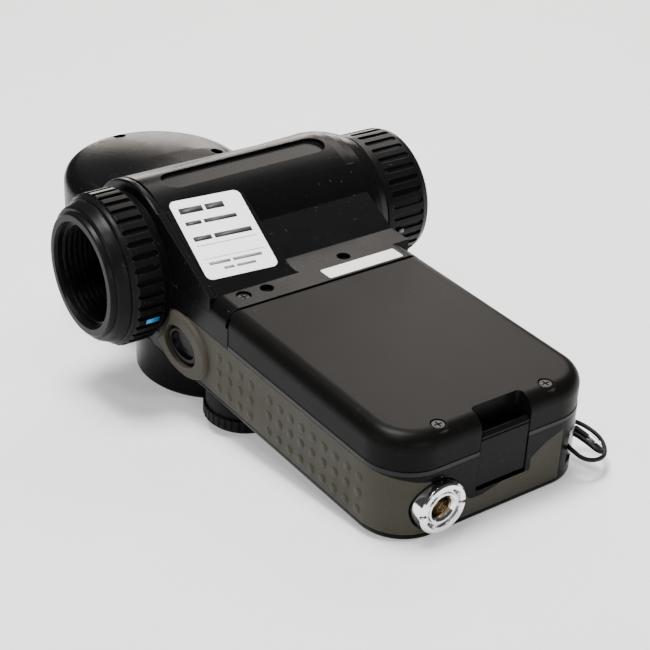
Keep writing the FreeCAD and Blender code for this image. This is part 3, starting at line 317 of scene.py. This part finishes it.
# generic printing on the label, as plain bars
SLOPE = math.radians(26.5)
LABEL_X, SKEW = -19.7, math.radians(-4.0)
FAIRING_FOOT, LABEL_START, LABEL_HALF, LABEL_FACE = 68.2, 3.9, 11.4, 0.145
SLOPE_UP = Vector((0, math.cos(SLOPE), math.sin(SLOPE)))
LABEL_ACROSS = Vector((math.cos(SKEW), 0, 0)) + SLOPE_UP * math.sin(SKEW)
LABEL_UP = SLOPE_UP * math.cos(SKEW) - Vector((math.sin(SKEW), 0, 0))
LABEL_MIDDLE = (Vector((LABEL_X, FAIRING_FOOT, 0)) + SLOPE_UP * (LABEL_START + LABEL_HALF)
                + Vector((0, -math.sin(SLOPE), math.cos(SLOPE))) * LABEL_FACE)
BAR_HEIGHT, WORD_GAP = 0.02, 0.7


def bars(rows):
    """Bars on the label; each row is its place up the label, its two ends and its height."""
    def build(bm):
        for up, start, end, height in rows:
            middle = (LABEL_MIDDLE + LABEL_UP * (up - LABEL_HALF)
                      + LABEL_ACROSS * (start + end) / 2)
            block(bm, middle, LABEL_ACROSS, LABEL_UP, end - start, height, BAR_HEIGHT)
    return build


def words(up, start, ends, height):
    """One line of word-length bars."""
    rows, x = [], start
    for end in ends:
        rows.append((up, x, end, height))
        x = end + WORD_GAP
    return rows


piece("label_lines", "meter_body", "label",
      bars(words(19.6, -7.6, (-1.6, 3.9), 1.7) + words(15.9, -7.6, (-3.6, 5.6), 1.1)
           + words(11.4, -7.6, (-3.0, 7.4), 1.3)), INK)
piece("label_fine_lines", "meter_body", "label",
      bars([(9.4, -7.8, 7.8, 0.18), (5.6, -7.8, 7.8, 0.14)]
           + words(4.2, -7.0, (-1.6, 6.6), 0.8) + words(2.4, -4.0, (-1.4, 4.2), 0.7)), INK_FINE)


SOCKET_X, SOCKET_Z, THREAD_START, THREAD_STEP, THREAD_STEPS = -20.3, -17.2, -1.1, 0.29, 24
THREAD_RADII = (2.56, 2.42, 2.30, 2.42)             # four steps make one turn's profile


def thread(bm):
    """The brass thread seen inside the tripod socket."""
    rings, sides = [], 32
    for i in range(THREAD_STEPS):
        y, r = THREAD_START + THREAD_STEP * i, THREAD_RADII[i % len(THREAD_RADII)]
        rings.append([bm.verts.new((SOCKET_X + r * math.cos(2 * math.pi * j / sides), y,
                                    SOCKET_Z + r * math.sin(2 * math.pi * j / sides)))
                      for j in range(sides)])
    for one, two in zip(rings, rings[1:]):
        for j in range(sides):
            bm.faces.new((one[j], one[(j + 1) % sides], two[(j + 1) % sides], two[j]))


piece("socket_thread", "meter_body", "brass", thread)

# ---- strap cord ---------------------------------------------------------------------------
CORD_RADIUS = 0.5
ROUTE = [(23.3, 6.4, -18.4), (23.3, 9.0, -18.3), (25.9, 10.8, -19.2), (28.3, 7.6, -20.1),
         (28.1, 2.4, -20.4), (24.9, -2.2, -20.5), (20.6, -3.8, -19.6), (17.0, -3.0, -18.4),
         (16.5, 0.6, -17.6), (17.0, 4.6, -17.2), (20.6, 5.6, -17.2), (21.2, 0.2, -17.5),
         (21.2, -3.0, -17.9), (23.3, -3.2, -18.78), (23.3, -0.59, -18.68)]
curve = bpy.data.curves.new("strap_cord_line", "CURVE")
curve.dimensions = "3D"
curve.bevel_depth = CORD_RADIUS * MM
curve.bevel_resolution = 4
curve.resolution_u = 16
curve.use_fill_caps = True
spline = curve.splines.new("NURBS")
spline.points.add(len(ROUTE) - 1)
for point, place in zip(spline.points, ROUTE):
    point.co = (*at(*place), 1)
spline.order_u = 3
spline.use_endpoint_u = True
cord = bpy.data.objects.new("strap_cord_line", curve)
bpy.context.scene.collection.objects.link(cord)
curve.materials.append(MATERIALS["cord"])
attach(cord, "meter_body")
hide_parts("strap_cord")

# ---- floor, light and camera --------------------------------------------------------------
FLOOR_HALF, FLOOR_GLOW, WORLD_LIGHT = 3.0, 0.4, 0.06
floor_mesh = bpy.data.meshes.new("floor")
floor_bm = bmesh.new()
bmesh.ops.create_grid(floor_bm, x_segments=1, y_segments=1, size=FLOOR_HALF)
floor_bm.to_mesh(floor_mesh)
floor_bm.free()
floor = bpy.data.objects.new("floor", floor_mesh)
bpy.context.scene.collection.objects.link(floor)
paper = surface("floor_paper", (0.66, 0.66, 0.66), 0.85, vary=0.01, edge=0, grain=2.0,
                grain_depth=0.01, spec=0.0)
for node in paper.node_tree.nodes:
    if node.type == "BSDF_PRINCIPLED":
        node.inputs["Emission Color"].default_value = (1, 1, 1, 1)
        node.inputs["Emission Strength"].default_value = FLOOR_GLOW
floor_mesh.materials.append(paper)

world = bpy.data.worlds.new("world")
bpy.context.scene.world = world
world.use_nodes = True
world.node_tree.nodes["Background"].inputs[0].default_value = (1, 1, 1, 1)
world.node_tree.nodes["Background"].inputs[1].default_value = WORLD_LIGHT


AIM_HEIGHT = 0.03
WARM = (1.0, 0.93, 0.86)


def area(name, azimuth, elevation, distance, width, height, power, color=(1, 1, 1)):
    """A soft light facing the meter, placed by its direction in degrees and its distance."""
    data = bpy.data.lights.new(name, "AREA")
    data.shape = "RECTANGLE"
    data.size, data.size_y = width, height
    data.energy = power
    data.color = color
    obj = bpy.data.objects.new(name, data)
    bpy.context.scene.collection.objects.link(obj)
    a, e = math.radians(azimuth), math.radians(elevation)
    away = Vector((math.cos(e) * math.cos(a), math.cos(e) * math.sin(a), math.sin(e)))
    obj.location = away * distance + Vector((0, 0, AIM_HEIGHT))
    obj.rotation_euler = (-away).to_track_quat("-Z", "Y").to_euler()


area("back_softbox", 33, 44, 0.9, 0.58, 0.38, 5.4, WARM)
area("back_low", 55, 12, 0.9, 0.5, 0.2, 3.0, WARM)
area("front_high", -148, 58, 0.9, 0.22, 0.16, 2.4)
area("overhead", 150, 85, 1.0, 0.4, 0.4, 25.0)
area("front_fill", -95, 12, 0.9, 0.5, 0.2, 2.2)
area("left_fill", 175, 20, 0.9, 0.4, 0.3, 1.2)

# the camera's place and its three directions, in the level frame
CAMERA_AT = (-199.68, -197.77, 180.96)
SENSOR, LENS = 36.0, 90.860677               # millimetres
RIGHT = Vector((0.81409236, -0.57900493, 0.04479857))
DOWN = Vector((-0.26463631, -0.43853589, -0.8588678))
AHEAD = Vector((0.51693447, 0.68734239, -0.51023445))
spin = Matrix((AX, AY, AZ)).transposed()
camera_data = bpy.data.cameras.new("camera")
camera_data.sensor_width = SENSOR
camera_data.lens = LENS
camera_data.clip_start = 0.01
camera = bpy.data.objects.new("camera", camera_data)
bpy.context.scene.collection.objects.link(camera)
turned = Matrix((spin @ RIGHT, spin @ -DOWN, spin @ -AHEAD)).transposed()
camera.matrix_world = Matrix.Translation(at(*CAMERA_AT)) @ turned.to_4x4()
bpy.context.scene.camera = camera
